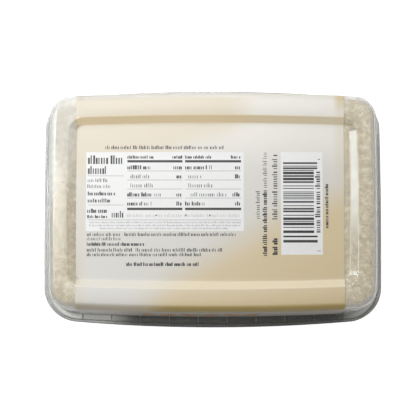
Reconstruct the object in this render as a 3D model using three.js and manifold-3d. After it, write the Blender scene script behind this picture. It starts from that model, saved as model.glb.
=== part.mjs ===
// A shut clear tub of sesame halva, lying on its lid with its base up.
// Four solids: the thin-walled tub with its sunk base panel and ribbed rim, the press-on lid,
// the printed film round the base and the long walls, and the block of halva that fills the tub.
// Millimetres, +X along the long sides, +Z up, the origin under the middle on the lid's outer face.
import * as THREE from 'three';
import { mergeVertices } from 'three/addons/utils/BufferGeometryUtils.js';
import Module from 'manifold-3d';

// ---- Driving dimensions ----

const TUB_HEIGHT = 48; // from the surface it lies on to the base ring
const WALL_HALF_LENGTH = 76; // outside of the wall, just under the base fillet
const WALL_HALF_WIDTH = 50.6;
const WALL_CORNER_RADIUS = 9.5;
const WALL_THICKNESS = 0.8;
const WALL_FLARE = 1.8; // how far the wall leans out between the base fillet and the flange
const BASE_FILLET = 3;
const CLEARANCE = 0.3; // between pieces that touch

// The sides bow outwards: each outline is narrower by its bow at BOW_REACH from the middle.
const BOW_REACH = 62;
const BASE_BOW = 1.2;
const RIM_BOW = 2.4;
const SHORT_SIDE_BOW = 0.6;

// The sunk panel that the tub stands round on its ring.
const PANEL_HALF_LENGTH = 63.7;
const PANEL_HALF_WIDTH = 37;
const PANEL_CORNER_RADIUS = 3;
const PANEL_DEPTH = 2.3;
const PANEL_STEP_RUN = 3.2;

// The rim: a flange round the mouth, turned back into a skirt, with webs across the channel.
const MOUTH_HEIGHT = 1.2;
const FLANGE_THICKNESS = 1;
const TUB_SKIRT_REACH = 4.5; // beyond the wall's outline under the base fillet
const TUB_SKIRT_TOP = 9.6;
const WEB_PITCH = 14;
const WEB_THICKNESS = 0.8;
const WEB_TOP = 8.2;
const LONG_SIDE_WEBS = 10;
const SHORT_SIDE_WEBS = 6;

// The lid: a skirt over the rim, a land to stand on and a panel that plugs the mouth.
const LID_THICKNESS = 0.9;
const LID_SKIRT_REACH = TUB_SKIRT_REACH + CLEARANCE + LID_THICKNESS;
const LID_SKIRT_TOP = 9;
const LID_EDGE_RADIUS = 1.5;
const LID_PANEL_HEIGHT = 2; // the sunk panel clears the surface by this much
const LID_LAND_START = 0.4; // the land runs from here, beyond the wall's outline, to the rounded edge

// The film round the base and the long walls.
const LABEL_HALF_LENGTH = 61.8;
const LABEL_CENTRE_X = -1.3;
const LABEL_END_HEIGHT = 10.2;
const LABEL_THICKNESS = 0.3;

// The halva, as deep as the net weight needs, with crumbly edges and flakes pressed to the wall.
const HALVA_END_HEIGHT = 7;
const FLAKE_DEPTH = 0.35;
const CRUMBLED_EDGE = 1.3; // how far the edges round the base fall short of the wall at most
const HALVA_FACE_RELIEF = 0.7;

const COLOURS = { clear: 0xdfe2df, film: 0xd9cbab, halva: 0xc9bfa5 };

// ---- Outlines ----

const COARSE = { corner: 6, long: 8, short: 4 };
const FINE = { corner: 6, long: 18, short: 10 };

// A rounded rectangle with bowed sides, counter-clockwise seen from above. halfWidth is at mid-length.
function outline({ halfLength, halfWidth, radius, bow }, steps) {
  const plain = [];
  const corners = [[1, 1], [-1, 1], [-1, -1], [1, -1]];
  corners.forEach(([sx, sy], index) => {
    const centre = new THREE.Vector2(sx * (halfLength - radius), sy * (halfWidth - radius));
    for (let i = 0; i <= steps.corner; i++) {
      const angle = (index + i / steps.corner) * Math.PI / 2;
      plain.push(new THREE.Vector2(Math.cos(angle), Math.sin(angle)).multiplyScalar(radius).add(centre));
    }
    const sideSteps = index % 2 === 0 ? steps.long : steps.short;
    const [nextX, nextY] = corners[(index + 1) % 4];
    const nextCentre = new THREE.Vector2(nextX * (halfLength - radius), nextY * (halfWidth - radius));
    const outward = new THREE.Vector2(Math.cos((index + 1) * Math.PI / 2), Math.sin((index + 1) * Math.PI / 2));
    for (let i = 1; i < sideSteps; i++) {
      plain.push(centre.clone().lerp(nextCentre, i / sideSteps).addScaledVector(outward, radius));
    }
  });
  return plain.map(({ x, y }) => new THREE.Vector2(
    x * (1 - SHORT_SIDE_BOW / halfLength * (y / halfWidth) ** 2),
    y * (1 - bow / halfWidth * (x / BOW_REACH) ** 2),
  ));
}

// The tub's outline, moved out from the wall under the base fillet. Its bow grows towards the rim.
function wallSection(reach) {
  const bow = THREE.MathUtils.lerp(BASE_BOW, RIM_BOW, Math.max(0, reach) / LID_SKIRT_REACH);
  return {
    halfLength: WALL_HALF_LENGTH + reach,
    halfWidth: WALL_HALF_WIDTH - BASE_BOW + bow + reach,
    radius: WALL_CORNER_RADIUS + reach,
    bow,
  };
}

function panelSection(reach) {
  return {
    halfLength: PANEL_HALF_LENGTH + reach,
    halfWidth: PANEL_HALF_WIDTH + reach,
    radius: PANEL_CORNER_RADIUS + reach,
    bow: BASE_BOW,
  };
}

// ---- Building solids ----

const wasm = await Module();
wasm.setup();

const ring = (section, z, steps = COARSE) => outline(section, steps).map((p) => new THREE.Vector3(p.x, p.y, z));

// Joins rings of equal size by bands of triangles and closes both ends with a fan. It faces out
// where the first ring is seen from above and the next ones lie outside or below it.
function loft(rings) {
  const count = rings[0].length;
  const middle = (points) => points.reduce((sum, p) => sum.add(p), new THREE.Vector3()).divideScalar(count);
  const points = [...rings.flat(), middle(rings[0]), middle(rings.at(-1))];
  const first = rings.length * count;
  const lastRing = first - count;
  const faces = [];
  for (let i = 0; i < count; i++) {
    const next = (i + 1) % count;
    faces.push(first, i, next, first + 1, lastRing + next, lastRing + i);
    for (let k = 0; k < lastRing; k += count) {
      faces.push(k + i, k + count + i, k + count + next, k + i, k + count + next, k + next);
    }
  }
  const geometry = new THREE.BufferGeometry().setFromPoints(points);
  geometry.setIndex(faces);
  return geometry;
}

// A closed geometry as a solid that can be cut and joined, and back again.
function solid(geometry) {
  const bare = geometry.clone();
  bare.deleteAttribute('normal');
  bare.deleteAttribute('uv');
  const merged = mergeVertices(bare, 1e-4);
  return new wasm.Manifold(new wasm.Mesh({
    numProp: 3,
    vertProperties: merged.attributes.position.array,
    triVerts: new Uint32Array(merged.index.array),
  }));
}

function geometryOf(made) {
  const { vertProperties, triVerts } = made.getMesh();
  const geometry = new THREE.BufferGeometry();
  geometry.setAttribute('position', new THREE.BufferAttribute(vertProperties, 3));
  geometry.setIndex(new THREE.BufferAttribute(triVerts, 1));
  return geometry;
}

function box(size, centre) {
  return new THREE.BoxGeometry(...size).translate(...centre);
}

// ---- The tub ----

const FLANGE_TOP = MOUTH_HEIGHT + FLANGE_THICKNESS;
const WALL_TOP = TUB_HEIGHT - BASE_FILLET;
const FILLET_STEPS = 4;
const wallReach = (z) => WALL_FLARE * (WALL_TOP - z) / (WALL_TOP - FLANGE_TOP);

// The rings of the tub's outer surface from the sunk panel to the foot of the wall, moved out by away.
// The step's own corners move in by the tangent of half its slope.
function skin(away, footHeight, steps = COARSE) {
  const stepShift = -away * Math.tan(Math.atan2(PANEL_DEPTH, PANEL_STEP_RUN) / 2);
  const rings = [
    ring(panelSection(stepShift), TUB_HEIGHT - PANEL_DEPTH + away, steps),
    ring(panelSection(PANEL_STEP_RUN + stepShift), TUB_HEIGHT + away, steps),
  ];
  for (let i = 0; i <= FILLET_STEPS; i++) {
    const angle = Math.PI / 2 * (1 - i / FILLET_STEPS);
    const radius = BASE_FILLET + away;
    const reach = -BASE_FILLET + radius * Math.cos(angle);
    rings.push(ring(wallSection(reach), WALL_TOP + radius * Math.sin(angle), steps));
  }
  rings.push(ring(wallSection(wallReach(footHeight) + away), footHeight, steps));
  return rings;
}

function tubShell() {
  const skirtInside = TUB_SKIRT_REACH - WALL_THICKNESS;
  return loft([
    ...skin(0, FLANGE_TOP),
    ring(wallSection(skirtInside), FLANGE_TOP),
    ring(wallSection(skirtInside), TUB_SKIRT_TOP),
    ring(wallSection(TUB_SKIRT_REACH), TUB_SKIRT_TOP),
    ring(wallSection(TUB_SKIRT_REACH), MOUTH_HEIGHT),
    ...skin(-WALL_THICKNESS, MOUTH_HEIGHT).reverse(),
  ]);
}

// One thin web that bridges the channel between the wall and the skirt, at its place along a side.
function web(along, isLongSide, side) {
  const middle = (section) => (isLongSide
    ? section.halfWidth - section.bow * (along / BOW_REACH) ** 2
    : section.halfLength - SHORT_SIDE_BOW * (along / section.halfWidth) ** 2);
  const inWall = middle(wallSection(WALL_FLARE)) - WALL_THICKNESS;
  const inSkirt = middle(wallSection(TUB_SKIRT_REACH)) - WALL_THICKNESS / 2;
  const width = inSkirt - inWall;
  const height = WEB_TOP - FLANGE_TOP + FLANGE_THICKNESS / 2;
  const centre = side * (inWall + width / 2);
  const centreHeight = WEB_TOP - height / 2;
  return isLongSide
    ? box([WEB_THICKNESS, width, height], [along, centre, centreHeight])
    : box([width, WEB_THICKNESS, height], [centre, along, centreHeight]);
}

function tubGeometry() {
  let tub = solid(tubShell());
  for (const [count, isLongSide] of [[LONG_SIDE_WEBS, true], [SHORT_SIDE_WEBS, false]]) {
    for (let i = 0; i < count; i++) {
      const along = (i - (count - 1) / 2) * WEB_PITCH;
      for (const side of [-1, 1]) tub = tub.add(solid(web(along, isLongSide, side)));
    }
  }
  return geometryOf(tub);
}

// ---- The lid ----

function lidGeometry() {
  const plugReach = wallReach(MOUTH_HEIGHT) - WALL_THICKNESS - CLEARANCE;
  const panelReach = plugReach - LID_THICKNESS - CLEARANCE;
  const panelInside = LID_PANEL_HEIGHT + LID_THICKNESS;
  const skirtInside = LID_SKIRT_REACH - LID_THICKNESS;
  const rings = [
    ring(wallSection(plugReach), panelInside),
    ring(wallSection(plugReach), LID_THICKNESS),
    ring(wallSection(skirtInside), LID_THICKNESS),
    ring(wallSection(skirtInside), LID_SKIRT_TOP),
    ring(wallSection(LID_SKIRT_REACH), LID_SKIRT_TOP),
  ];
  const edgeSteps = 3;
  for (let i = 0; i <= edgeSteps; i++) {
    const angle = Math.PI / 2 * i / edgeSteps;
    const reach = LID_SKIRT_REACH - LID_EDGE_RADIUS * (1 - Math.cos(angle));
    rings.push(ring(wallSection(reach), LID_EDGE_RADIUS * (1 - Math.sin(angle))));
  }
  rings.push(
    ring(wallSection(LID_LAND_START), 0),
    ring(wallSection(panelReach), LID_PANEL_HEIGHT),
  );
  return loft(rings);
}

// ---- The film ----

function labelGeometry() {
  const outer = solid(loft(skin(CLEARANCE + LABEL_THICKNESS, LABEL_END_HEIGHT)));
  const inner = solid(loft(skin(CLEARANCE, LABEL_END_HEIGHT - 1)));
  const span = 2 * TUB_HEIGHT + 2 * WALL_HALF_WIDTH;
  const band = solid(box([2 * LABEL_HALF_LENGTH, span, span], [LABEL_CENTRE_X, 0, 0]));
  return geometryOf(outer.subtract(inner).intersect(band));
}

// ---- The halva ----

// A smooth unevenness between 0 and 1, from a few waves that never line up.
function unevenness(x, y, z) {
  const waves = Math.sin(0.31 * x + 1.7 * Math.sin(0.17 * y + 0.4))
    + Math.sin(0.27 * y - 0.21 * x + 0.23 * z + 2.1)
    + Math.sin(0.53 * x + 0.47 * y - 0.31 * z + 4.4);
  return 0.5 + waves / 6;
}

// Pushes each point of a ring towards the middle of the block, by depth at most.
function crumbled(points, depth) {
  return points.map((p) => {
    const inward = new THREE.Vector3(-p.x, -p.y, 0).normalize();
    return p.clone().addScaledVector(inward, depth * unevenness(p.x, p.y, p.z));
  });
}

function halvaGeometry() {
  const away = -WALL_THICKNESS - CLEARANCE;
  const rings = skin(away, HALVA_END_HEIGHT, FINE);
  const foot = rings.pop();
  const [panel, step, ...fillet] = rings;
  const wall = fillet.pop();
  const crumbs = fillet.map((points, i) => crumbled(points, CRUMBLED_EDGE * (i + 1) / fillet.length));
  const wallRings = [];
  const wallSteps = 5;
  for (let i = 0; i < wallSteps; i++) {
    const between = wall.map((p, k) => p.clone().lerp(foot[k], i / wallSteps));
    wallRings.push(crumbled(between, i === 0 ? CRUMBLED_EDGE * 0.7 : FLAKE_DEPTH));
  }
  const face = [1, 0.985, 0.86, 0.62, 0.34].map((share) => foot.map((p) => {
    const x = p.x * share;
    const y = p.y * share;
    const rise = share === 1 ? HALVA_FACE_RELIEF : 0;
    const relief = HALVA_FACE_RELIEF * unevenness(1.4 * x, 1.4 * y, 0);
    return new THREE.Vector3(x, y, HALVA_END_HEIGHT + rise + relief);
  }));
  return loft([panel, step, ...crumbs, ...wallRings, ...face]);
}

// ---- The scene graph ----

function piece(name, geometry, colour, roughness, extra = {}) {
  geometry.computeVertexNormals();
  const material = new THREE.MeshStandardMaterial({ color: colour, roughness, metalness: 0, ...extra });
  const mesh = new THREE.Mesh(geometry, material);
  mesh.name = name;
  return mesh;
}

const clear = { transparent: true, opacity: 0.3 };
const pack = new THREE.Group();
pack.name = 'tub_of_halva';
pack.add(
  piece('tub', tubGeometry(), COLOURS.clear, 0.12, clear),
  piece('lid', lidGeometry(), COLOURS.clear, 0.12, clear),
  piece('label', labelGeometry(), COLOURS.film, 0.45),
  piece('halva', halvaGeometry(), COLOURS.halva, 0.9),
);

export default pack;
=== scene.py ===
# %% [markdown]
# A clear tub of sesame halva, lying on its lid with its printed base up. Five things make it: the
# thin moulded tub, the press-on lid, the film bonded round the base, the ink printed on that film,
# and the halva that fills the tub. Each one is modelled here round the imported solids, which give its
# place and size. Lengths on the tub are in millimetres until MM turns them into metres, and those of
# the room round it, such as the places of camera and lamps, are in metres from the start.

# %% The frame that everything is fitted to
import math
import random

import bmesh
import bpy
from mathutils import Matrix, Vector, noise


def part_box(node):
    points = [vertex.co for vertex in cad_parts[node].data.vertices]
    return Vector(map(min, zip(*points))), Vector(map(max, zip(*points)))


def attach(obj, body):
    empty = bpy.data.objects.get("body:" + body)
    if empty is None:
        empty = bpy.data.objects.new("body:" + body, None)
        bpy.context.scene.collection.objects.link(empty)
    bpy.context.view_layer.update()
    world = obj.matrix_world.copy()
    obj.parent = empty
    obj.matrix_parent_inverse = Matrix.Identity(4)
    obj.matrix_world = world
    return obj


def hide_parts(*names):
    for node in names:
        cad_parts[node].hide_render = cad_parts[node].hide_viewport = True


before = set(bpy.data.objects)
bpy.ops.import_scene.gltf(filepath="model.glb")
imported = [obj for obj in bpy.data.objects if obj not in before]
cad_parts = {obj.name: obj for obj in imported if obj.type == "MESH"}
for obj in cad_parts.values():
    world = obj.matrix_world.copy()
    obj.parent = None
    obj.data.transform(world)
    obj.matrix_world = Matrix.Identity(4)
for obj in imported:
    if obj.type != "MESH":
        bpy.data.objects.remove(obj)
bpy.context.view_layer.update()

MM = 0.001
BODY = "root"
print("packed solids:", sorted(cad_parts))

# %% [markdown]
# Colours are easiest to pick as sRGB hex values, the numbers that a paint program shows, but a shader
# wants linear light. One function turns one into the other, so no colour is typed twice.


# %% Colours
def linear(hex_colour):
    """Linear red, green, blue and alpha of an sRGB hex colour."""
    channels = [int(hex_colour[i : i + 2], 16) / 255 for i in (1, 3, 5)]
    return [c / 12.92 if c <= 0.04045 else ((c + 0.055) / 1.055) ** 2.4 for c in channels] + [1.0]


print("a mid grey in linear light:", [round(c, 3) for c in linear("#808080")])

# %% [markdown]
# Every outline of this tub is a rounded rectangle whose long sides bow out a little, which stiffens a
# thin moulded wall. They all share one family: the outline of the wall just under the base, moved
# outwards by a reach. The bow grows towards the rim. Keeping it as one function is what makes the tub,
# the lid, the film and the halva nest without gaps.


# %% The family of outlines
def solid_box(solid):
    """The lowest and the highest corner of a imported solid, in millimetres."""
    return [[c / MM for c in corner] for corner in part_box(solid)]


_, (LID_HALF_LENGTH, LID_HALF_WIDTH, LID_SKIRT_TOP) = solid_box("lid")
TUB_HEIGHT = solid_box("tub")[1][2]
LID_REACH = 5.7
WALL_HALF_LENGTH = LID_HALF_LENGTH - LID_REACH
RIM_BOW, BASE_BOW, SHORT_SIDE_BOW = 2.4, 1.2, 0.6
BOW_REACH = 62
WALL_HALF_WIDTH = LID_HALF_WIDTH - LID_REACH - (RIM_BOW - BASE_BOW)
WALL_CORNER_RADIUS = 9.5
PANEL = {"half_length": 63.7, "half_width": 37, "radius": 3, "bow": BASE_BOW}
PANEL_DEPTH, PANEL_STEP_RUN = 2.3, 3.2
DRAFT = 0.02
BASE_FILLET = 3
WALL_TOP = TUB_HEIGHT - BASE_FILLET
FLANGE_TOP = 2.1
WALL_FLARE = 1.8
WALL = 0.8


def wall_section(reach):
    """The wall's outline under the base, moved outwards by reach."""
    bow = BASE_BOW + (RIM_BOW - BASE_BOW) * max(0, reach) / LID_REACH
    return {
        "half_length": WALL_HALF_LENGTH + reach,
        "half_width": WALL_HALF_WIDTH - BASE_BOW + bow + reach,
        "radius": WALL_CORNER_RADIUS + reach,
        "bow": bow,
    }


def panel_section(reach):
    """The sunk panel's outline, moved outwards by reach."""
    grown = {key: PANEL[key] + reach for key in ("half_length", "half_width", "radius")}
    return grown | {"bow": PANEL["bow"]}


def wall_reach(z):
    """How far the outside of the wall leans out at a height."""
    return WALL_FLARE * (WALL_TOP - z) / (WALL_TOP - FLANGE_TOP)


print("wall outline under the base:", wall_section(0))

# %% [markdown]
# An outline starts as a circle. Pulling its four quarters apart gives a rounded rectangle with true
# arcs for corners, subdividing the four long edges gives them points to bend, and one last move bows
# them. Operators renew the points they touch, so each loop writes its number on its points, in a
# layer, and is found again by that. Bridging neighbouring loops then lays an even skin of quads, and
# bevelling a loop rounds the crease there, as a mould's radius does. Two loops at one height give the
# bridge no direction to work in and it comes out twisted, so flat rims fall by a hair, called DRAFT.

# %% Loops, skins and creases
CORNER_SEGMENTS, LONG_CUTS, SHORT_CUTS = 14, 41, 23
LOOP_NUMBER = "loop number"
SHARP_TURN = math.radians(40)
CREASE, SHARP = (0.35, 3), (0, 0)


def loop_edges(bm, number):
    layer = bm.verts.layers.int[LOOP_NUMBER]
    return [e for e in bm.edges if e.verts[0][layer] == e.verts[1][layer] == number]


def edges_at(verts):
    """The edges at these points, each once. Unlike a set, a dict's keys keep one order on every run."""
    return list(dict.fromkeys(edge for vert in verts for edge in vert.link_edges))


def outline_loop(bm, number, section, z):
    """Adds one closed loop of points and writes its number on them."""
    length, width, radius = (section[key] for key in ("half_length", "half_width", "radius"))
    half_step = Matrix.Rotation(math.pi / (4 * CORNER_SEGMENTS), 4, "Z")
    points = 4 * CORNER_SEGMENTS
    ring = bmesh.ops.create_circle(bm, segments=points, radius=radius * MM, matrix=half_step)
    for vert in ring["verts"]:
        pull_x = math.copysign(length - radius, vert.co.x)
        pull_y = math.copysign(width - radius, vert.co.y)
        vert.co += Vector((pull_x * MM, pull_y * MM, z * MM))
    edges = edges_at(ring["verts"])
    along = [e for e in edges if e.verts[0].co.x * e.verts[1].co.x < 0]
    across = [e for e in edges if e.verts[0].co.y * e.verts[1].co.y < 0]
    bmesh.ops.subdivide_edges(bm, edges=along, cuts=LONG_CUTS)
    bmesh.ops.subdivide_edges(bm, edges=across, cuts=SHORT_CUTS)
    layer = bm.verts.layers.int[LOOP_NUMBER]
    for vert in bm.verts:
        if vert[layer] == 0:
            x, y = vert.co.x / MM, vert.co.y / MM
            vert.co.x *= 1 - SHORT_SIDE_BOW / length * (y / width) ** 2
            vert.co.y *= 1 - section["bow"] / width * (x / BOW_REACH) ** 2
            vert[layer] = number


def round_off(bm, edges, radius, segments):
    bmesh.ops.bevel(
        bm,
        geom=edges,
        offset=radius * MM,
        segments=segments,
        profile=0.5,
        affect="EDGES",
        material=-1,
    )


def skin(bm, stations, roundings, cap_faces=1, cap_inset=1.5):
    """Bridges a loop for each (section, z), closes the first one and rounds the creases.

    roundings holds a radius and a number of segments for each loop. cap_faces is 1 where the closing
    face looks up and -1 where it looks down, and cap_inset keeps its long thin corners away from it.
    """
    bm.verts.layers.int.new(LOOP_NUMBER)
    for number, (section, z) in enumerate(stations, start=1):
        outline_loop(bm, number, section, z)
    for number in range(1, len(stations)):
        bmesh.ops.bridge_loops(bm, edges=loop_edges(bm, number) + loop_edges(bm, number + 1))
    cap = bmesh.ops.contextual_create(bm, geom=loop_edges(bm, 1))["faces"][0]
    bmesh.ops.recalc_face_normals(bm, faces=bm.faces[:])
    if cap.normal.z * cap_faces < 0:
        bmesh.ops.reverse_faces(bm, faces=bm.faces[:])
    for number, (radius, segments) in enumerate(roundings, start=1):
        if radius:
            round_off(bm, loop_edges(bm, number), radius, segments)
    flat = max(bm.faces, key=lambda face: face.calc_area())
    bmesh.ops.inset_region(bm, faces=[flat], thickness=cap_inset * MM, use_even_offset=True)
    bm.verts.layers.int.remove(bm.verts.layers.int[LOOP_NUMBER])


def finish_mesh(bm, name, smooth=True):
    """Turns a bmesh into an object of that name, shaded smooth but for its sharp turns."""
    for face in bm.faces:
        face.smooth = smooth
    for edge in bm.edges:
        edge.smooth = edge.calc_face_angle(0) < SHARP_TURN
    mesh = bpy.data.meshes.new(name)
    bm.to_mesh(mesh)
    bm.free()
    piece = bpy.data.objects.new(name, mesh)
    bpy.context.collection.objects.link(piece)
    print(f"{name}: {len(mesh.polygons)} faces")
    return piece


# %% [markdown]
# The tub is injection moulded in one shot, so its wall is the same 0.8 mm everywhere. It's modelled as
# its outer skin alone, from the sunk base panel out over the ring and down the wall, then out along
# the flange and back up the skirt. Solidify then gives it that wall.

# %% The tub's skin
SKIRT_REACH, SKIRT_TOP = 4.5, 9.6
FILLET_SEGMENTS = 12
FLANGE_CREASE = (0.4, 3)


def tub_stations(away, foot):
    """The outer skin's loops from the panel to the foot of the wall, moved out by away."""
    shift = -away * math.tan(math.atan2(PANEL_DEPTH, PANEL_STEP_RUN) / 2)
    return [
        (panel_section(shift), TUB_HEIGHT - PANEL_DEPTH + away),
        (panel_section(PANEL_STEP_RUN + shift), TUB_HEIGHT + away),
        (wall_section(away), TUB_HEIGHT + away - DRAFT),
        (wall_section(wall_reach(foot) + away), foot),
    ]


def build_tub():
    bm = bmesh.new()
    inner = wall_section(SKIRT_REACH - WALL)
    stations = tub_stations(0, FLANGE_TOP) + [(inner, FLANGE_TOP + DRAFT), (inner, SKIRT_TOP)]
    fillet = (BASE_FILLET, FILLET_SEGMENTS)
    skin(bm, stations, [CREASE, CREASE, fillet, FLANGE_CREASE, CREASE, SHARP])
    bmesh.ops.solidify(bm, geom=bm.faces[:], thickness=WALL * MM)
    return bm


tub = finish_mesh(build_tub(), "tub_shell")

# %% [markdown]
# Thin webs cross the channel between wall and skirt every 14 mm. They keep the rim round while a full
# tub is lifted by it. Each is a plain sliver, so a cube, flattened and bevelled, is all it takes. The
# webs are a piece of their own here, because so thin a sliver cools dull and takes another finish.

# %% The webs in the rim channel
WEB_PITCH, WEB_THICKNESS, WEB_TOP = 14, 0.25, 8.2
WEB_FOOT = FLANGE_TOP - 0.3
WEB_OVERLAP, WEB_EDGE_RADIUS = 0.25, 0.08
LONG_SIDE_WEBS, SHORT_SIDE_WEBS = 10, 6


def side_distance(section, along, long_side):
    """How far a bowed side is from the middle, at a distance along it."""
    if long_side:
        return section["half_width"] - section["bow"] * (along / BOW_REACH) ** 2
    return section["half_length"] - SHORT_SIDE_BOW * (along / section["half_width"]) ** 2


def add_web(bm, along, long_side, side):
    """One web across the channel, from just inside the wall to just inside the skirt."""
    near = side_distance(wall_section(wall_reach(WEB_TOP / 2)), along, long_side) - WEB_OVERLAP
    far = side_distance(wall_section(SKIRT_REACH - WALL), along, long_side) + WEB_OVERLAP
    size = (WEB_THICKNESS, far - near, WEB_TOP - WEB_FOOT)
    place = Vector((along, side * (near + far) / 2, (WEB_TOP + WEB_FOOT) / 2))
    if not long_side:
        size = (size[1], size[0], size[2])
        place = Vector((place.y, place.x, place.z))
    shape = Matrix.Translation(place * MM) @ Matrix.Diagonal((*[s * MM for s in size], 1))
    web = bmesh.ops.create_cube(bm, size=1, matrix=shape)["verts"]
    round_off(bm, edges_at(web), WEB_EDGE_RADIUS, segments=2)


web_bm = bmesh.new()
for count, long_side in ((LONG_SIDE_WEBS, True), (SHORT_SIDE_WEBS, False)):
    for i in range(count):
        for side in (-1, 1):
            add_web(web_bm, (i - (count - 1) / 2) * WEB_PITCH, long_side, side)
webs = finish_mesh(web_bm, "rim_webs")

# %% [markdown]
# The lid is the same kind of moulding: a panel that plugs the mouth, a land that it stands on, and a
# skirt that grips the rim. Only the skirt shows while the tub lies on it, so the rest stays plain. A
# small bead round the free edge is what a thumb lifts.

# %% The lid
LID_WALL, LID_PANEL_HEIGHT, LAND_START, PANEL_REACH = 0.9, 2.0, 0.4, -0.35
LAND_INSET, BEAD_PROUD, BEAD_START, BEAD_FULL = 0.15, 0.2, 1.6, 1.1
LID_CREASES = [(0.5, 3), (0.4, 3), (1.5, 6), (0.2, 2), (0.2, 2), SHARP]


def build_lid():
    bm = bmesh.new()
    stations = [
        (wall_section(PANEL_REACH), LID_PANEL_HEIGHT),
        (wall_section(LAND_START), 0),
        (wall_section(LID_REACH - LAND_INSET), DRAFT),
        (wall_section(LID_REACH - BEAD_PROUD), LID_SKIRT_TOP - BEAD_START),
        (wall_section(LID_REACH), LID_SKIRT_TOP - BEAD_FULL),
        (wall_section(LID_REACH), LID_SKIRT_TOP),
    ]
    skin(bm, stations, LID_CREASES, cap_faces=-1)
    bmesh.ops.solidify(bm, geom=bm.faces[:], thickness=LID_WALL * MM)
    return bm


lid = finish_mesh(build_lid(), "lid_shell")

# %% [markdown]
# The film is one strip, bonded to the outside of the tub across the base and down both long walls. It
# takes every curve of the tub, so it's made from the same loops, a hair further out, and two cutting
# planes trim it to its width.

# %% The film
FILM, FILM_AWAY = 0.1, 0.04
(FILM_LEFT, _, FILM_END), (FILM_RIGHT, _, _) = solid_box("label")


def build_film():
    bm = bmesh.new()
    away = FILM_AWAY + FILM
    fillet = (BASE_FILLET + away, FILLET_SEGMENTS)
    skin(bm, tub_stations(away, FILM_END), [CREASE, CREASE, fillet, SHARP])
    for edge_x, outward in ((FILM_LEFT, -1), (FILM_RIGHT, 1)):
        bmesh.ops.bisect_plane(
            bm,
            geom=bm.verts[:] + bm.edges[:] + bm.faces[:],
            plane_co=(edge_x * MM, 0, 0),
            plane_no=(outward, 0, 0),
            clear_outer=True,
        )
    bmesh.ops.solidify(bm, geom=bm.faces[:], thickness=FILM * MM)
    return bm


film = finish_mesh(build_film(), "film")
FILM_FACE = TUB_HEIGHT - PANEL_DEPTH + FILM_AWAY + FILM
print("printed face of the base at", round(FILM_FACE, 2), "mm")

# %% [markdown]
# Halva is beaten sesame paste and sugar, pressed into the tub while warm. It lies against the clear
# wall nearly everywhere, so the block reaches a little into the wall's thickness and no air gap shows.
# Only the tub's outer edge is too tight for it: there the block's own edge is rounder, and it
# crumbles back a little. So a closed block is remeshed into small even quads, and noise then moves
# the points of that edge inwards, and those of the hidden face under the lid too.

# %% The halva
HALVA_FOOT = 7
HALVA_VOXEL = 0.8
REACH_INTO_WALL = 0.3
HALVA_EDGE_RADIUS = 3.4
HALVA_CREASES = [(0.9, 2), (1.0, 2), (HALVA_EDGE_RADIUS, 6), SHARP]
EDGE_GAP, EDGE_CRUMBLE, CRUMBLE_SIZE = 0.6, 0.9, 7
CLUMP_DEPTH, CLUMP_SIZE, GRAIN_DEPTH, GRAIN_SIZE = 1.2, 6.0, 0.5, 2


def build_halva():
    bm = bmesh.new()
    skin(bm, tub_stations(REACH_INTO_WALL - WALL, HALVA_FOOT), HALVA_CREASES)
    bmesh.ops.holes_fill(bm, edges=[e for e in bm.edges if e.is_boundary], sides=0)
    bmesh.ops.recalc_face_normals(bm, faces=bm.faces[:])
    return bm


def remeshed(piece, voxel):
    """Applies a voxel remesh, which turns a closed mesh into quads of one size."""
    modifier = piece.modifiers.new("even quads", "REMESH")
    modifier.mode = "VOXEL"
    modifier.voxel_size = voxel * MM
    graph = bpy.context.evaluated_depsgraph_get()
    mesh = bpy.data.meshes.new_from_object(piece.evaluated_get(graph))
    piece.modifiers.clear()
    old, piece.data = piece.data, mesh
    bpy.data.meshes.remove(old)
    return piece


def unevenness(place, size):
    """Smooth noise from 0 to 1 whose lumps are about size millimetres across."""
    return 0.5 + 0.5 * noise.noise(place / (size * MM))


def crumble(piece):
    """Moves the points of the outer edge and of the hidden face inwards, unevenly."""
    normals = [vert.normal.copy() for vert in piece.data.vertices]
    for vert, normal in zip(piece.data.vertices, normals):
        place = vert.co.copy()
        faces_out = normal.x * place.x + normal.y * place.y > 0
        on_edge = 4 * normal.z * (1 - normal.z) if faces_out and normal.z > 0 else 0.0
        depth = on_edge * max(0.0, EDGE_GAP + EDGE_CRUMBLE * (unevenness(place, CRUMBLE_SIZE) - 0.5))
        faces_lid = normal.z < -0.5
        if faces_lid:
            depth += CLUMP_DEPTH * unevenness(place, CLUMP_SIZE)
            depth += GRAIN_DEPTH * unevenness(place, GRAIN_SIZE)
        vert.co -= normal * depth * MM
    for face in piece.data.polygons:
        face.use_smooth = True
    return piece


halva = crumble(remeshed(finish_mesh(build_halva(), "halva_block"), HALVA_VOXEL))
print("halva:", len(halva.data.polygons), "faces after remeshing")

# %% [markdown]
# The print is ink on the film. A table and a bar block sit on white fields, and text shows at this
# distance only as rows of fine dark strokes, so that is what the rows are made of: a word is a run of
# separate upright slivers of two heights, and no letter is drawn.

# %% Ink: blocks and rows of strokes
WHITE_INK, DARK_INK = 0.02, 0.04
INK_SUNK = 0.01

# Weights, a stroke's thickness over the row's height, and then how strokes are spaced.
FAINT, SMALL, LIGHT, HEADING, MEDIUM, REGULAR, BOLD = 0.06, 0.12, 0.16, 0.17, 0.2, 0.22, 0.3
STROKE_PITCH, HEADING_PITCH, HEADING_HEIGHT = 0.44, 0.3, 3
SHORT_STROKE, TALL_SHARE, STROKE_WIDTHS = 0.72, 0.3, (0.8, 1.0, 1.3)
FEWEST_STROKES, MOST_STROKES, WORD_GAP = 3, 9, 0.7


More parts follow.
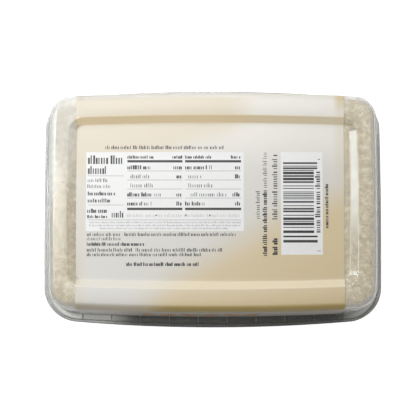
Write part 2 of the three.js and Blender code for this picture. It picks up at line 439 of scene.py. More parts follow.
def ink_block(bm, left, low, right, high, top=DARK_INK):
    """A thin block of ink on the base's printed face, sides in millimetres."""
    size = ((right - left) * MM, (high - low) * MM, (top + INK_SUNK) * MM)
    middle = Vector(((left + right) / 2, (low + high) / 2, FILM_FACE + (top - INK_SUNK) / 2)) * MM
    shape = Matrix.Translation(middle) @ Matrix.Diagonal((*size, 1))
    bmesh.ops.create_cube(bm, size=1, matrix=shape)


def stroke_row(bm, start, end, foot, height, weight, draw, upright=False):
    """Fills a row with words of strokes.

    start and end lie along the row, foot is the line it stands on, and draw is the random source.
    """
    thick = weight * height
    pitch = height * (HEADING_PITCH if height > HEADING_HEIGHT else STROKE_PITCH)
    at = start
    while at < end - pitch:
        for _ in range(draw.randint(FEWEST_STROKES, MOST_STROKES)):
            if at + pitch > end:
                break
            top = height if draw.random() < TALL_SHARE else SHORT_STROKE * height
            wide = thick * draw.choice(STROKE_WIDTHS)
            if upright:
                ink_block(bm, foot - top, at, foot, at + wide)
            else:
                ink_block(bm, at, foot, at + wide, foot + top)
            at += pitch
        at += WORD_GAP * pitch


def stroke_rows(bm, rows, draw, upright=False):
    """Each row: start, end, foot, height, weight."""
    for start, end, foot, height, weight in rows:
        stroke_row(bm, start, end, foot, height, weight, draw, upright)


print("a word has", FEWEST_STROKES, "to", MOST_STROKES, "strokes")

# %% [markdown]
# The table lies on a white field and has a heading block on its left. White ink goes on first and the
# dark ink over it, so the dark blocks stand a little higher than the white ones. All dark ink is one
# mesh and all white ink another, because each is one pass of the press, and a mesh of its own for
# every stroke would be slow. The strokes are drawn at random from one seeded source, so every run
# gives the same print.

# %% The table's white field and heading
TABLE = (-58.6, -13.4, 14.2, 23.1)
RULE_THICKNESS = 0.14
HEADING_RULES, HEADING_RULE_START, HEADING_RULE_END = (12.0, -1.5), -57.8, -41.2
HEADING_ROWS = [
    (-57.8, -41.0, 17.6, 4.0, HEADING),
    (-57.8, -47.1, 12.9, 3.7, HEADING),
    (-57.8, -47.8, 9.2, 1.7, LIGHT),
    (-58.0, -46.4, 6.4, 1.7, LIGHT),
    (-57.8, -44.6, 3.0, 1.8, BOLD),
    (-57.8, -46.4, -0.3, 1.9, BOLD),
    (-58.0, -48.0, -5.1, 2.0, BOLD),
    (-58.0, -48.3, -7.5, 1.4, BOLD),
    (-46.7, -41.0, -7.3, 3.1, HEADING),
]

white_bm, dark_bm = bmesh.new(), bmesh.new()
draw = random.Random(24)
ink_block(white_bm, *TABLE, top=WHITE_INK)
stroke_rows(dark_bm, HEADING_ROWS, draw)
for rule in HEADING_RULES:
    ink_block(dark_bm, HEADING_RULE_START, rule, HEADING_RULE_END, rule + RULE_THICKNESS)
print("heading:", len(dark_bm.faces), "faces of dark ink")

# %% [markdown]
# Two columns of rows fill the rest of the table, each between two thick bars and with thin rules
# between the rows. A row has a word on its left and a figure on its right, so a loop over a short list
# of lengths draws both columns, and the list says only what differs from row to row.

# %% The table's two columns
ROW_HEIGHT, FIRST_ROW_FOOT, ROW_PITCH = 1.9, 15.1, 4.2
RULE_DROP, WORD_SPACE = 0.8, 0.5
BAR_FEET, BAR_THICKNESS = (18.3, -3.8), 1.1
COLUMN_HEAD_FOOT, COLUMN_HEAD_HEIGHT, LEFT_HEAD, RIGHT_HEAD = 20.1, 1.5, 12.6, 4.7

# Each row: indent, then the lengths of a bold word, a light word and a bold figure.
LEFT_ROWS = [(0, 9, 2.4, 4.2), (1.5, 0, 10, 2.8), (1.5, 0, 11, 0), (0, 12, 3.4, 2.8), (0, 7.3, 4.6, 2.8)]
RIGHT_ROWS = [(0, 10.7, 2.5, 2.8), (1.5, 0, 6.8, 2.8), (1.5, 0, 12.8, 0), (2.7, 0, 17, 4), (0, 7.3, 2, 2.8)]
COLUMNS = [(-39.6, -14.1, LEFT_ROWS), (-12.9, 13.0, RIGHT_ROWS)]


def table_row(left, right, foot, indent, bold_word, light_word, figure):
    at = left + indent
    stroke_row(dark_bm, at, at + bold_word, foot, ROW_HEIGHT, BOLD, draw)
    at += bold_word + (WORD_SPACE if bold_word else 0)
    stroke_row(dark_bm, at, at + light_word, foot, ROW_HEIGHT, LIGHT, draw)
    stroke_row(dark_bm, right - figure, right, foot, ROW_HEIGHT, BOLD, draw)


for left, right, rows in COLUMNS:
    heads = (left, left + LEFT_HEAD), (right - RIGHT_HEAD, right)
    for start, end in heads:
        stroke_row(dark_bm, start, end, COLUMN_HEAD_FOOT, COLUMN_HEAD_HEIGHT, BOLD, draw)
    for bar_foot in BAR_FEET:
        ink_block(dark_bm, left, bar_foot, right, bar_foot + BAR_THICKNESS)
    for i, lengths in enumerate(rows):
        foot = FIRST_ROW_FOOT - i * ROW_PITCH
        table_row(left, right, foot, *lengths)
        if i < len(rows) - 1:
            rule = foot - RULE_DROP
            ink_block(dark_bm, left, rule, right, rule + RULE_THICKNESS)
print("columns:", len(dark_bm.faces), "faces of dark ink so far")

# %% [markdown]
# Under the columns runs one faint row with square bullets in it, a last rule, and three lines of small
# print. Their strokes are thinner than a pixel of the picture, so they show as faint grey lines.

# %% The table's foot
FAINT_ROW = (-39.6, 12.9, -7.1, 1.7, FAINT)
BULLETS, BULLET_FOOT, BULLET_SIDE = (-26.4, -12.8, -1.8), -6.5, 0.6
LAST_RULE, LAST_RULE_START, LAST_RULE_END = -8.4, -57.8, 13.2
SMALL_PRINT = [
    (-57, 13, -9.9, 0.9, SMALL),
    (-57, 12.8, -11.3, 0.9, SMALL),
    (-52, 7.6, -12.7, 0.9, SMALL),
]
stroke_rows(dark_bm, [FAINT_ROW], draw)
for bullet in BULLETS:
    ink_block(dark_bm, bullet, BULLET_FOOT, bullet + BULLET_SIDE, BULLET_FOOT + BULLET_SIDE)
ink_block(dark_bm, LAST_RULE_START, LAST_RULE, LAST_RULE_END, LAST_RULE + RULE_THICKNESS)
stroke_rows(dark_bm, SMALL_PRINT, draw)
print("table:", len(dark_bm.faces), "faces of dark ink so far")

# %% [markdown]
# Rows of text run above and below the table, and upright rows stand on its right, on both sides of
# the bar block. They are the same strokes, turned a quarter.

# %% The loose rows
LOOSE_ROWS = [
    (-49.8, 5.6, 24.5, 1.7, REGULAR),
    (-58.1, -42.3, -15.8, 1.6, MEDIUM),
    (-40.8, 11.4, -15.8, 1.6, REGULAR),
    (-58.1, -42.3, -17.8, 1.6, LIGHT),
    (-58.1, -31.4, -20.3, 1.6, BOLD),
    (-58.1, -36.8, -23.0, 1.7, REGULAR),
    (-35.6, 4.9, -23.0, 1.7, REGULAR),
    (-58.1, -4.8, -25.1, 1.6, REGULAR),
    (-39.9, -5.6, -29.6, 1.7, BOLD),
]
UPRIGHT_ROWS = [
    (-7.8, 5.8, 21.6, 1.9, LIGHT),
    (-24.9, 5.8, 24.9, 2.0, BOLD),
    (6.6, 23.8, 24.9, 1.9, LIGHT),
    (-8.1, 23.3, 29.7, 2.4, MEDIUM),
    (-24.5, -16.6, 29.7, 2.3, BOLD),
    (-12.2, 8.8, 53.2, 1.5, BOLD),
    (-14.2, 14.5, 49.5, 2.4, REGULAR),
    (-22.8, -21.6, 49.5, 1.5, REGULAR),
    (19.6, 20.8, 49.5, 1.5, REGULAR),
]
stroke_rows(dark_bm, LOOSE_ROWS, draw)
stroke_rows(dark_bm, UPRIGHT_ROWS, draw, upright=True)
print("rows:", len(dark_bm.faces), "faces of dark ink so far")

# %% [markdown]
# The bar block stands on a white field of its own. Its bars are drawn at random on a grid of 0.4 mm
# modules, so they look right and stand for no number. The bars at both ends of such a block are longer
# than the rest.

# %% The bar block
BAR_FIELD = (31.4, -24.4, 50.6, 23.1)
BAR_LEFT, BAR_RIGHT, BARS_LOW, BARS_HIGH = 32.4, 46.6, -18.8, 19.0
LONG_BAR_EXTRA, LONG_BARS_REACH = 1.6, 4.0
MODULE, BAR_MODULES, GAP_MODULES = 0.4, (1, 1, 1, 2, 2, 3), (1, 1, 1, 2, 3)
ink_block(white_bm, *BAR_FIELD, top=WHITE_INK)
y = BARS_LOW
while y < BARS_HIGH:
    thick = min(draw.choice(BAR_MODULES) * MODULE, BARS_HIGH - y)
    from_end = min(y - BARS_LOW, BARS_HIGH - y)
    right = BAR_RIGHT + (LONG_BAR_EXTRA if from_end < LONG_BARS_REACH else 0)
    ink_block(dark_bm, BAR_LEFT, y, right, y + thick)
    y += thick + draw.choice(GAP_MODULES) * MODULE

white_ink = finish_mesh(white_bm, "white_ink", smooth=False)
dark_ink = finish_mesh(dark_bm, "dark_ink", smooth=False)

# %% [markdown]
# Each long wall carries a row of orange seeds, the sesame that the sweet is made of. A seed is a
# flattened ball, narrower at one end, laid on the film where the wall is.

# %% The seeds on the long walls
SEED_LENGTH, SEED_WIDTH, SEED_PROUD = 15, 7.5, 0.12
SEED_TAPER, SEED_LEAN = 0.35, 24
SEEDS, SEED_PITCH, SEED_HEIGHT, SEED_ROW_CENTRE = 6, 9.4, 26, -6


def add_seed(bm, along, height, side, lean):
    """One seed on the wall of a side, its centre at a height, leaning by lean degrees."""
    seed = bmesh.ops.create_icosphere(bm, subdivisions=3, radius=1)["verts"]
    for vert in seed:
        taper = 1 - SEED_TAPER * vert.co.z
        vert.co = Vector((vert.co.x * taper, vert.co.y, vert.co.z))
    reach = wall_reach(height) + FILM_AWAY + FILM
    y = side * side_distance(wall_section(reach), along, True)
    slope = math.atan2(WALL_FLARE, WALL_TOP - FLANGE_TOP)
    size = Matrix.Diagonal((SEED_WIDTH / 2 * MM, SEED_PROUD * MM, SEED_LENGTH / 2 * MM, 1))
    turn = Matrix.Rotation(side * slope, 4, "X") @ Matrix.Rotation(math.radians(lean), 4, "Y")
    shape = Matrix.Translation(Vector((along, y, height)) * MM) @ turn @ size
    bmesh.ops.transform(bm, matrix=shape, verts=seed)


seed_bm = bmesh.new()
for side in (-1, 1):
    for i in range(SEEDS):
        along = (i - (SEEDS - 1) / 2) * SEED_PITCH + SEED_ROW_CENTRE
        add_seed(seed_bm, along, SEED_HEIGHT, side, SEED_LEAN if i % 2 else -SEED_LEAN)
seeds = finish_mesh(seed_bm, "printed_seeds")

# %% [markdown]
# Materials come next, each named for the real one. A small helper adds a node, sets its values and
# links its inputs, so a whole material reads as a short list. It is the only one that adds nodes: the
# other helpers here each say one thing about a surface, and call it. Object coordinates are in metres
# and stay put whatever the camera does. Scaled to millimetres they give every pattern a real size, as
# the Scale of a texture is then one over the size of its lumps.


# %% Helpers for materials
def node(tree, kind, inputs=(), **settings):
    """Adds a shader node. Each input, by its name or number, is a value or another node's socket."""
    added = tree.nodes.new("ShaderNode" + kind)
    for key, value in settings.items():
        setattr(added, key, value)
    for key, value in dict(inputs).items():
        if isinstance(value, bpy.types.NodeSocket):
            tree.links.new(value, added.inputs[key])
        else:
            added.inputs[key].default_value = value
    return added


def new_material(name):
    material = bpy.data.materials.new(name)
    material.use_nodes = True
    material.node_tree.nodes.clear()
    print("material:", name)
    return material, material.node_tree


def place_in_mm(tree):
    metres = node(tree, "TexCoord").outputs["Object"]
    return node(tree, "VectorMath", {0: metres, "Scale": 1 / MM}, operation="SCALE").outputs[0]


def patch(tree, strength, *runs):
    """A factor that reaches strength where every run is full. A run is a value, its start and its end."""
    for value, start, end in runs:
        limits = {"Value": value, "From Min": start, "From Max": end}
        run = node(tree, "MapRange", limits, interpolation_type="SMOOTHSTEP").outputs[0]
        strength = node(tree, "Math", {0: strength, 1: run}, operation="MULTIPLY").outputs[0]
    return strength


# %% [markdown]
# Clarified polypropylene is clear but never quite as clean as glass: it has a faint grey tint, a soft
# gloss from the polished mould, and a haze. The haze adds up where light runs along the wall, so the
# material turns from transmitting to scattering as it's seen more edge-on. Where the halva touches the
# wall, above the rim, its oil leaves a patchy smear that scatters a little more. Towards the far left
# corner that scattering is raised as painted glare, which whitens the wall there. Cycles' glass would
# block the lamps and leave the halva dark, so for shadow rays alone a transparent shader lets light in.

# %% Clarified polypropylene
CLEAR, CLEAR_IN_SHADOW = "#eeeeec", "#efefee"
SMEAR, SMEAR_VARIES, SMEAR_LUMP, THIN_LUMPS, THICK_LUMPS = 0.13, 0.15, 2.86, 0.35, 0.65
SMEAR_FOOT, SMEAR_FULL = 12, 14
# The far left's raised smear is painted glare.
FAR_LEFT_GLARE, GLARE_START, GLARE_END = 3.2, 60, 100


def smear(tree):
    """How much light the oil on the wall scatters, with painted glare added towards the far left."""
    place = place_in_mm(tree)
    x, y, height = node(tree, "SeparateXYZ", {0: place}).outputs
    lumps = node(tree, "TexNoise", {"Vector": place, "Scale": 1 / SMEAR_LUMP, "Detail": 4})
    uneven = node(tree, "MapRange", {
        "Value": lumps.outputs["Fac"],
        "From Min": THIN_LUMPS,
        "From Max": THICK_LUMPS,
        "To Min": SMEAR * (1 - SMEAR_VARIES),
        "To Max": SMEAR * (1 + SMEAR_VARIES),
    })
    to_far_left = node(tree, "Math", {0: y, 1: x}, operation="SUBTRACT").outputs[0]
    # The extra smear towards the far left is painted glare, whitening the wall there.
    painted_glare = patch(tree, 1, (to_far_left, GLARE_START, GLARE_END))
    glare_times = node(tree, "MapRange", {"Value": painted_glare, "To Min": 1, "To Max": FAR_LEFT_GLARE}).outputs[0]
    thick = node(tree, "Math", {0: uneven.outputs[0], 1: glare_times}, operation="MULTIPLY").outputs[0]
    return patch(tree, thick, (height, SMEAR_FOOT, SMEAR_FULL))


def polypropylene(name, face_on, edge_on, roughness):
    """face_on and edge_on say how much of the light scatters when the wall is seen in that way."""
    material, tree = new_material(name)
    facing = node(tree, "LayerWeight", {"Blend": 0.5}).outputs["Facing"]
    clean = node(tree, "MapRange", {"Value": facing, "To Min": 1 - face_on, "To Max": 1 - edge_on}).outputs[0]
    clear = node(tree, "Math", {0: clean, 1: smear(tree)}, operation="SUBTRACT").outputs[0]
    body = node(tree, "BsdfPrincipled", {
        "Base Color": linear(CLEAR),
        "Roughness": roughness,
        "IOR": 1.49,
        "Transmission Weight": clear,
    })
    through = node(tree, "BsdfTransparent", {"Color": linear(CLEAR_IN_SHADOW)})
    in_shadow = node(tree, "LightPath").outputs["Is Shadow Ray"]
    lit = node(tree, "MixShader", {0: in_shadow, 1: body.outputs[0], 2: through.outputs[0]})
    node(tree, "OutputMaterial", {"Surface": lit.outputs[0]})
    return material


# %% [markdown]
# The tub and the lid are the same plastic, but the lid has rubbed against other lids, so it's hazier
# and less glossy than the tub. The thin webs in the channel cooled fastest and came out dull.

# %% Three finishes of that plastic
tub_plastic = polypropylene("clarified polypropylene", face_on=0.04, edge_on=0.3, roughness=0.09)
lid_plastic = polypropylene("rubbed polypropylene", face_on=0.08, edge_on=0.3, roughness=0.2)
web_plastic = polypropylene("dull polypropylene", face_on=0.3, edge_on=0.5, roughness=0.4)

# %% [markdown]
# The film is printed with two pearl inks, a gold and a silver one, that run into each other: some gold
# over the far left, a silver sash from the far right down to the near left, and full gold over the
# near right. Towards the far side the silver is painted paler, as painted sheen. A little gold follows
# both cut edges and is strongest at the far right corner. Each field of gold is a patch, bounded by
# soft runs along x, along y, or along a slanting line that is x times a lean, less y. Slow noise lets
# the slanting borders drift, as a soft print does.

# %% Where the gold ink lies
GOLD_DRIFT, DRIFT_LUMP = 9, 71.4
FAR_LEAN, NEAR_LEAN = 0.27, 0.5
FAR_GOLD, NEAR_GOLD = 0.6, 1
EDGE_GOLD, CORNER_GOLD = 0.25, 0.9
FAR_EDGE = WALL_HALF_WIDTH - 3
FILM_CENTRE = (FILM_LEFT + FILM_RIGHT) / 2

# Runs, in millimetres: where a field starts and where it is full.
FAR_SLANT, FAR_ALONG_X, FAR_OUT = (-23, -38), (26, 4), (FAR_EDGE + 1.5, FAR_EDGE)
NEAR_SLANT, NEAR_ALONG_X = (13, 35), (-42, -16)
TO_CUT_EDGE, CORNER_ALONG_Y, CORNER_ALONG_X = (56, 60), (40, 47), (0, 10)


def gold_share(tree, place, x, y, far_out):
    """How much gold ink there is over the silver. far_out is how far a place is on the far side."""
    lumps = node(tree, "TexNoise", {"Vector": place, "Scale": 1 / DRIFT_LUMP, "Detail": 1}).outputs["Fac"]
    drift = node(tree, "MapRange", {"Value": lumps, "To Min": -GOLD_DRIFT, "To Max": GOLD_DRIFT}).outputs[0]
    across = node(tree, "Math", {0: drift, 1: y}, operation="SUBTRACT").outputs[0]
    far_slant, near_slant = [
        node(tree, "Math", {0: x, 1: lean, 2: across}, operation="MULTIPLY_ADD").outputs[0]
        for lean in (FAR_LEAN, NEAR_LEAN)
    ]
    off_centre = node(tree, "Math", {0: x, 1: FILM_CENTRE}, operation="SUBTRACT").outputs[0]
    to_edge = node(tree, "Math", {0: off_centre}, operation="ABSOLUTE").outputs[0]
    corner = patch(tree, 1, (y, *CORNER_ALONG_Y), (x, *CORNER_ALONG_X))
    edge = node(tree, "MapRange", {"Value": corner, "To Min": EDGE_GOLD, "To Max": CORNER_GOLD}).outputs[0]
    share = patch(tree, FAR_GOLD, (far_slant, *FAR_SLANT), (x, *FAR_ALONG_X), (far_out, *FAR_OUT))
    near = patch(tree, NEAR_GOLD, (near_slant, *NEAR_SLANT), (x, *NEAR_ALONG_X))
    for field in (near, patch(tree, edge, (to_edge, *TO_CUT_EDGE))):
        share = node(tree, "Math", {0: share, 1: field}, operation="MAXIMUM").outputs[0]
    return share


print("gold ends", round(FAR_EDGE, 1), "mm from the middle on the far side")

# %% [markdown]
# Pearl ink is a bright colour under a broad, cool white sheen, so the same gold looks pale where a lamp
# is mirrored and deep on the slopes that face away. A high IOR and a middling roughness give that. Over
# the silver go layers: a paler silver towards the far side, which is painted sheen; the gold; round the
# near edge of the base a deeper gold that is partly print and partly painted shade, so it darkens the
# silver there too; painted light on the far step and painted sheen on the near step, both lighter than
# the print; and on the long walls a grey with a dark band near the rim. A loop mixes each layer over
# those before it. The film isn't quite flat, so a bump of slow waves covers it.

# %% Printed pearl film
# The paler silver is painted sheen towards the far side.
SILVER, FAR_SILVER_SHEEN, GOLD, DEEP_GOLD_AND_SHADE = "#bab6ac", "#cdc9be", "#b9a36f", "#967d2a"
# Colours of the painted light on the far step and the painted sheen on the near step.
FAR_STEP_LIGHT, NEAR_STEP_SHEEN = "#ecd6ab", "#f4ecd4"
WALL_GREY, DARK_BAND, SHEEN = "#b5aea3", "#433d38", "#f6f6f8"
FAR_STEP_LIGHT_LEFT, FAR_STEP_LIGHT_RIGHT, FAR_STEP_LIGHT_FADES, NEAR_STEP_SHEEN_SHARE = 1, 0.6, 50, 0.3
STEP_START, STEP_END, STEP_LIGHT_BLUR = PANEL["half_width"], PANEL["half_width"] + PANEL_STEP_RUN, 0.4
# Even where there is no gold, painted shade darkens the near edge by this much.
LEAST_PAINTED_SHADE, NEAR_EDGE_SHADE_RUN = 0.4, (WALL_HALF_WIDTH - 3.4, WALL_HALF_WIDTH - 0.6)
FAR_SHEEN_RUN, WALL_GREY_RUN, DARK_BAND_RUN = (10, 36), (45.5, 44), (15.5, 12.5)
WAVE_LUMP, WAVE_DEPTH, WAVE_STRENGTH = 22.2, 0.3, 0.12


def painted_step_light(tree, strength, out):
    """Painted light along the step of one side, where out is how far a place is on that side."""
    inner, outer = (out, STEP_START - STEP_LIGHT_BLUR, STEP_START), (out, STEP_END + STEP_LIGHT_BLUR, STEP_END)
    return patch(tree, strength, inner, outer)


def film_colour(tree, place):
    x, y, z = node(tree, "SeparateXYZ", {0: place}).outputs
    squared = node(tree, "Math", {0: x, 1: x}, operation="MULTIPLY").outputs[0]
    bow = node(tree, "Math", {0: squared, 1: BASE_BOW / BOW_REACH**2}, operation="MULTIPLY").outputs[0]
    far_out = node(tree, "Math", {0: bow, 1: y}, operation="ADD").outputs[0]
    near_out = node(tree, "Math", {0: bow, 1: y}, operation="SUBTRACT").outputs[0]
    gold = gold_share(tree, place, x, y, far_out)
    deep_and_shade = node(tree, "Math", {0: gold, 1: LEAST_PAINTED_SHADE}, operation="MAXIMUM").outputs[0]
    far_step_light = node(tree, "MapRange", {
        "Value": x,
        "From Max": FAR_STEP_LIGHT_FADES,
        "To Min": FAR_STEP_LIGHT_LEFT,
        "To Max": FAR_STEP_LIGHT_RIGHT,
    })
    layers = [
        # Silver painted paler towards the far side, as painted sheen.
        (FAR_SILVER_SHEEN, patch(tree, 1, (y, *FAR_SHEEN_RUN))),
        (GOLD, gold),
        # A deeper gold along the near edge, partly print and partly painted shade that darkens the silver
        # too.
        (DEEP_GOLD_AND_SHADE, patch(tree, deep_and_shade, (near_out, *NEAR_EDGE_SHADE_RUN))),
        # Painted light on the far step, fading to the right, and painted sheen on the near step.
        (FAR_STEP_LIGHT, painted_step_light(tree, far_step_light.outputs[0], far_out)),
        (NEAR_STEP_SHEEN, painted_step_light(tree, NEAR_STEP_SHEEN_SHARE, near_out)),
        (WALL_GREY, patch(tree, 1, (z, *WALL_GREY_RUN))),
        (DARK_BAND, patch(tree, 1, (z, *DARK_BAND_RUN))),
    ]
    colour = linear(SILVER)
    for layer, factor in layers:
        colour = node(tree, "Mix", {0: factor, 6: colour, 7: linear(layer)}, data_type="RGBA").outputs[2]
    return colour


def printed_film():
    material, tree = new_material("printed pearl film")
    place = place_in_mm(tree)
    waves = node(tree, "TexNoise", {"Vector": place, "Scale": 1 / WAVE_LUMP, "Detail": 1}).outputs["Fac"]
    bump = node(tree, "Bump", {"Strength": WAVE_STRENGTH, "Distance": WAVE_DEPTH * MM, "Height": waves})
    shader = node(tree, "BsdfPrincipled", {
        "Base Color": film_colour(tree, place),
        "Roughness": 0.42,
        "IOR": 2.2,
        "Specular Tint": linear(SHEEN),
        "Normal": bump.outputs[0],
    })
    node(tree, "OutputMaterial", {"Surface": shader.outputs[0]})
    return material


pearl_film = printed_film()

# %% [markdown]
# Inks lie on the film as dry, slightly absorbent layers. The white is a dense opaque white with the
# film's own gloss, the dark one a soft black that prints as a dark grey, and the seeds are a warm
# orange. Ink takes unevenly. Its real mottle is too fine to see from here, so it's drawn about a
# millimetre across.


# %% Inks
MOTTLE_LUMP, THINNEST_INK, THICKEST_INK = 1.11, 0.94, 1.04


def ink(name, colour, roughness, ior=1.45):
    material, tree = new_material(name)
    mottle = node(tree, "TexNoise", {"Vector": place_in_mm(tree), "Scale": 1 / MOTTLE_LUMP, "Detail": 2})
    limits = {"Value": mottle.outputs["Fac"], "To Min": THINNEST_INK, "To Max": THICKEST_INK}
    shade = node(tree, "MapRange", limits).outputs[0]
    inputs = {0: 1, 6: linear(colour), 7: shade}
    tinted = node(tree, "Mix", inputs, data_type="RGBA", blend_type="MULTIPLY").outputs[2]
    shader = node(tree, "BsdfPrincipled", {"Base Color": tinted, "Roughness": roughness, "IOR": ior})
    node(tree, "OutputMaterial", {"Surface": shader.outputs[0]})
    return material


dense_white = ink("dense white ink", "#cdcdcb", 0.42, ior=2.2)
soft_black = ink("soft black ink", "#2b2a2a", 0.32)
orange = ink("orange ink", "#c98a3c", 0.3)

# %% [markdown]
# Halva is a paste of ground sesame and fine sugar threads: matt, slightly oily, cream to beige, with a
# crumb of paler flakes about a millimetre across, darker pores between them and a few toasted specks.
# Noise gives the clouds of the paste. The distance inside the cells of a Voronoi texture makes each
# cell a flake, light in its middle and dark at its edge. Finer noise gives the specks and the grain.

# %% Sesame halva
PASTE_SHADES = [(0.3, "#aa9e80"), (0.5, "#bcaf8f"), (0.7, "#d2c7ac")]
TOASTED, TOASTED_SHARE = "#a5855c", 0.7
PASTE_LUMP, FLAKE, SPECK_LUMP, CRUMB = 2.63, 1.0, 1.67, 1.11
FLAKE_MIDDLE, FLAKE_EDGE, FLAKE_LIGHT, PORE_DARK = 0.1, 0.7, 1.11, 0.79
SPECK_START, SPECK_FULL = 0.77, 0.84
CRUMB_DEPTH, CRUMB_STRENGTH = 0.5, 0.4


def halva_colour(tree, place):
    clouds = node(tree, "TexNoise", {"Vector": place, "Scale": 1 / PASTE_LUMP, "Detail": 4})
    cream = node(tree, "ValToRGB", {"Fac": clouds.outputs["Fac"]})
    shades = cream.color_ramp.elements
    shades.new(0.5)
    for shade, (position, colour) in zip(shades, PASTE_SHADES):
        shade.position = position
        shade.color = linear(colour)
    flakes = node(tree, "TexVoronoi", {"Vector": place, "Scale": 1 / FLAKE})
    flake = node(tree, "MapRange", {
        "Value": flakes.outputs["Distance"],
        "From Min": FLAKE_MIDDLE,
        "From Max": FLAKE_EDGE,
        "To Min": FLAKE_LIGHT,
        "To Max": PORE_DARK,
    })
    inputs = {0: 1, 6: cream.outputs["Color"], 7: flake.outputs[0]}
    flaked = node(tree, "Mix", inputs, data_type="RGBA", blend_type="MULTIPLY").outputs[2]
    specks = node(tree, "TexNoise", {"Vector": place, "Scale": 1 / SPECK_LUMP, "Detail": 0}).outputs["Fac"]
    limits = {"Value": specks, "From Min": SPECK_START, "From Max": SPECK_FULL, "To Max": TOASTED_SHARE}
    toasted = node(tree, "MapRange", limits).outputs[0]
    return node(tree, "Mix", {0: toasted, 6: flaked, 7: linear(TOASTED)}, data_type="RGBA").outputs[2]


def sesame_halva():
    material, tree = new_material("sesame halva")
    place = place_in_mm(tree)
    grain = node(tree, "TexNoise", {"Vector": place, "Scale": 1 / CRUMB, "Detail": 3}).outputs["Fac"]
    bump = node(tree, "Bump", {"Strength": CRUMB_STRENGTH, "Distance": CRUMB_DEPTH * MM, "Height": grain})
    shader = node(tree, "BsdfPrincipled", {
        "Base Color": halva_colour(tree, place),
        "Roughness": 0.6,
        "IOR": 1.46,
        "Normal": bump.outputs[0],
    })
    node(tree, "OutputMaterial", {"Surface": shader.outputs[0]})
    return material


pressed_halva = sesame_halva()

# %% [markdown]
# Now each piece gets its material, rides on the tub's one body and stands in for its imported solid. The
# webs belong to the tub's solid and the inks to the film's, so those pieces replace nothing.

# %% Dressing the pieces
FINISHES = [
    (tub, "tub", "clear_polypropylene", tub_plastic),
    (lid, "lid", "clear_polypropylene", lid_plastic),
    (webs, None, "clear_polypropylene", web_plastic),
    (film, "label", "label_film", pearl_film),
    (halva, "halva", "sesame_halva", pressed_halva),
    (white_ink, None, "label_film", dense_white),
    (dark_ink, None, "label_film", soft_black),
    (seeds, None, "label_film", orange),
]
for piece, solid, slot, material in FINISHES:
    piece.data.materials.clear()
    piece.data.materials.append(material)
    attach(piece, BODY)
    if solid:
        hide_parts(solid)
print(len(FINISHES), "pieces dressed")

# %% [markdown]
# The tub lies on a light table. The camera sees the whole table as white. What the tub's walls see of
# it is darker: the glass is a mid grey that glows at little over a third, and not at all under the tub
# or on its near side, where the glow is cut out as painted shade, so the rim there stays dark. That
# painted shade is a rounded rectangle with a soft edge, found from the distance to its core.

# %% The light table
FLOOR_SIDE = 4.0
TABLE_GREY, TABLE_ROUGHNESS, GLOW, SEEN_WHITE = "#b8b8b7", 0.9, 0.38, 0.95
# These place the painted shade: the part of the table whose glow is cut out.
PAINTED_SHADE_REACH, PAINTED_SHADE_CENTRE, PAINTED_SHADE_HALF_LENGTH = 60, 11, 60
PAINTED_SHADE_RADIUS, PAINTED_SHADE_EDGE_IN, PAINTED_SHADE_EDGE_OUT = 20, 12, 4
NOTHING = Vector((0, 0, 0))


def light_table():
    material, tree = new_material("opal light table")
    # The glow is cut out here as painted shade, under the tub and on its near side.
    to_painted_shade = Vector((-PAINTED_SHADE_CENTRE, PAINTED_SHADE_REACH / 2, 0))
    half_width = LID_HALF_WIDTH + PAINTED_SHADE_REACH / 2
    core = Vector((PAINTED_SHADE_HALF_LENGTH - PAINTED_SHADE_RADIUS, half_width - PAINTED_SHADE_RADIUS, 0))
    place = place_in_mm(tree)
    steps = [("ADD", to_painted_shade), ("ABSOLUTE", NOTHING), ("SUBTRACT", core), ("MAXIMUM", NOTHING)]
    for operation, other in steps:
        place = node(tree, "VectorMath", {0: place, 1: other}, operation=operation).outputs[0]
    from_core = node(tree, "VectorMath", {0: place}, operation="LENGTH").outputs["Value"]
    glow = patch(tree, GLOW, (from_core, PAINTED_SHADE_RADIUS - PAINTED_SHADE_EDGE_IN, PAINTED_SHADE_RADIUS + PAINTED_SHADE_EDGE_OUT))
    seen = node(tree, "LightPath").outputs["Is Camera Ray"]
    white = node(tree, "Math", {0: seen, 1: SEEN_WHITE}, operation="MULTIPLY").outputs[0]
    shader = node(tree, "BsdfPrincipled", {
        "Base Color": linear(TABLE_GREY),
        "Roughness": TABLE_ROUGHNESS,
        "Emission Color": linear("#ffffff"),
        "Emission Strength": node(tree, "Math", {0: glow, 1: white}, operation="MAXIMUM").outputs[0],
    })
    node(tree, "OutputMaterial", {"Surface": shader.outputs[0]})
    return material


floor_bm = bmesh.new()
bmesh.ops.create_grid(floor_bm, x_segments=1, y_segments=1, size=FLOOR_SIDE / 2)
floor = finish_mesh(floor_bm, "floor", smooth=False)
floor.data.materials.append(light_table())

# %% [markdown]
# The tub is seen from almost straight above, a little from its near side. A long lens from three
# quarters of a metre away keeps its sides nearly parallel. The lens is worked out from the size that a
# pixel should have at the height of the base.

# %% Camera
IMAGE_SIDE = 416
CAMERA_DISTANCE, CAMERA_TILT = 0.75, math.radians(4.9)
MM_PER_PIXEL_AT_BASE = 0.46
OFF_CENTRE_PIXELS = Vector((-5.0, -2.4))
SENSOR, NEAR_CLIP = 36, 0.02

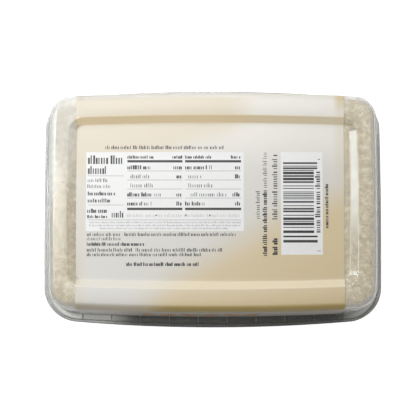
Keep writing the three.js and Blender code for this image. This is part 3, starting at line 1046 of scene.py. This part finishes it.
camera_data = bpy.data.cameras.new("camera")
camera = bpy.data.objects.new("camera", camera_data)
bpy.context.collection.objects.link(camera)
off_centre = OFF_CENTRE_PIXELS * MM_PER_PIXEL_AT_BASE
aim = Vector((off_centre.x * MM, -off_centre.y * MM, 0))
backwards = Vector((0, -math.sin(CAMERA_TILT), math.cos(CAMERA_TILT)))
camera.location = aim + backwards * CAMERA_DISTANCE
camera.rotation_euler = (CAMERA_TILT, 0, 0)
base_distance = CAMERA_DISTANCE - TUB_HEIGHT * MM
camera_data.sensor_width = SENSOR
camera_data.lens = SENSOR * base_distance / (IMAGE_SIDE * MM_PER_PIXEL_AT_BASE * MM)
camera_data.clip_start = NEAR_CLIP
bpy.context.scene.camera = camera
print("lens", round(camera_data.lens, 1), "mm")

# %% [markdown]
# The cloth of a soft box is brightest in its middle, and with such edges its mirror image in the
# smooth plastic has no outline. An area lamp's Parametric coordinates run from 0 to 1 across it, so
# they can fade it out. A lamp that fades is made larger and stronger, to give the same light.


# %% A soft box
def soft_box(name, place, target, width, height, power, soft=0.0, tint=(1, 1, 1)):
    """An area lamp, in metres and watts. soft is the part of its size over which its edges fade out."""
    data = bpy.data.lights.new(name, "AREA")
    data.shape = "RECTANGLE"
    data.size, data.size_y = width / (1 - soft), height / (1 - soft)
    data.energy = power / (1 - soft) ** 2
    data.color = tint
    if soft:
        data.use_nodes = True
        tree = data.node_tree
        across = node(tree, "NewGeometry").outputs["Parametric"]
        u, v, _ = node(tree, "SeparateXYZ", {0: across}).outputs
        strength = patch(tree, 1, (u, 0, soft), (u, 1, 1 - soft), (v, 0, soft), (v, 1, 1 - soft))
        tree.links.new(strength, tree.nodes["Emission"].inputs["Strength"])
    lamp = bpy.data.objects.new(name, data)
    bpy.context.collection.objects.link(lamp)
    lamp.location = place
    lamp.rotation_euler = (Vector(target) - Vector(place)).to_track_quat("-Z", "Y").to_euler()


# %% [markdown]
# The tub is lit from its far left, so its near side falls into shade. Four soft boxes hang above it:
# the base mirrors them, each in its own part, so their powers set how its brightness falls off from
# the far left. A small one hangs low over the far side. A backdrop box behind the tub lights the far
# slope of every step, a low box on each side puts the narrow bright line on the step opposite, and a
# weak wide one fills the near side. The line on the right-hand step is crisp and a cool white, so the
# box that makes it has hard edges and a tint. The world is a dim white, as a pale room is.

# %% Lights
SOFT, COOL_WHITE, ROOM_LIGHT = 0.4, (0.77, 0.89, 1.0), 0.12

# Each box: its name, its place, what it faces, its width, height and power, and its soft edge.
soft_box("top box", (-0.05, 0.3, 0.9), (-0.05, 0.3, 0), 0.2, 0.22, 1.95, SOFT)
soft_box("far key box", (-0.02, 0.3, 0.3), (0, 0, 0.04), 0.24, 0.08, 0.3)
soft_box("left top box", (-0.28, 0.15, 0.9), (-0.28, 0.15, 0), 0.42, 0.26, 3.2, SOFT)
soft_box("right top box", (0.17, 0.25, 0.9), (0.17, 0.25, 0), 0.3, 0.3, 0.6, SOFT)
soft_box("near top box", (-0.23, 0.06, 0.9), (-0.23, 0.06, 0), 0.24, 0.26, 0.38, SOFT)
soft_box("backdrop box", (0, 0.8, 0.28), (0, 0, 0.05), 0.5, 0.2, 1.2)
soft_box("left side box", (-0.65, 0.135, 0.52), (0, 0.05, 0.05), 0.15, 0.14, 0.65, tint=COOL_WHITE)
soft_box("right side box", (0.65, 0.1, 0.52), (0, 0.05, 0.05), 0.3, 0.2, 0.2)
soft_box("front fill", (0, -0.8, 0.35), (0, 0, 0.05), 1.2, 0.4, 0.65)

world = bpy.data.worlds.new("studio")
bpy.context.scene.world = world
world.use_nodes = True
room = world.node_tree.nodes["Background"].inputs
room["Color"].default_value = linear("#ffffff")
room["Strength"].default_value = ROOM_LIGHT
bpy.context.scene.view_settings.view_transform = "Standard"
print(len(bpy.data.lights), "lamps and a room of", ROOM_LIGHT)
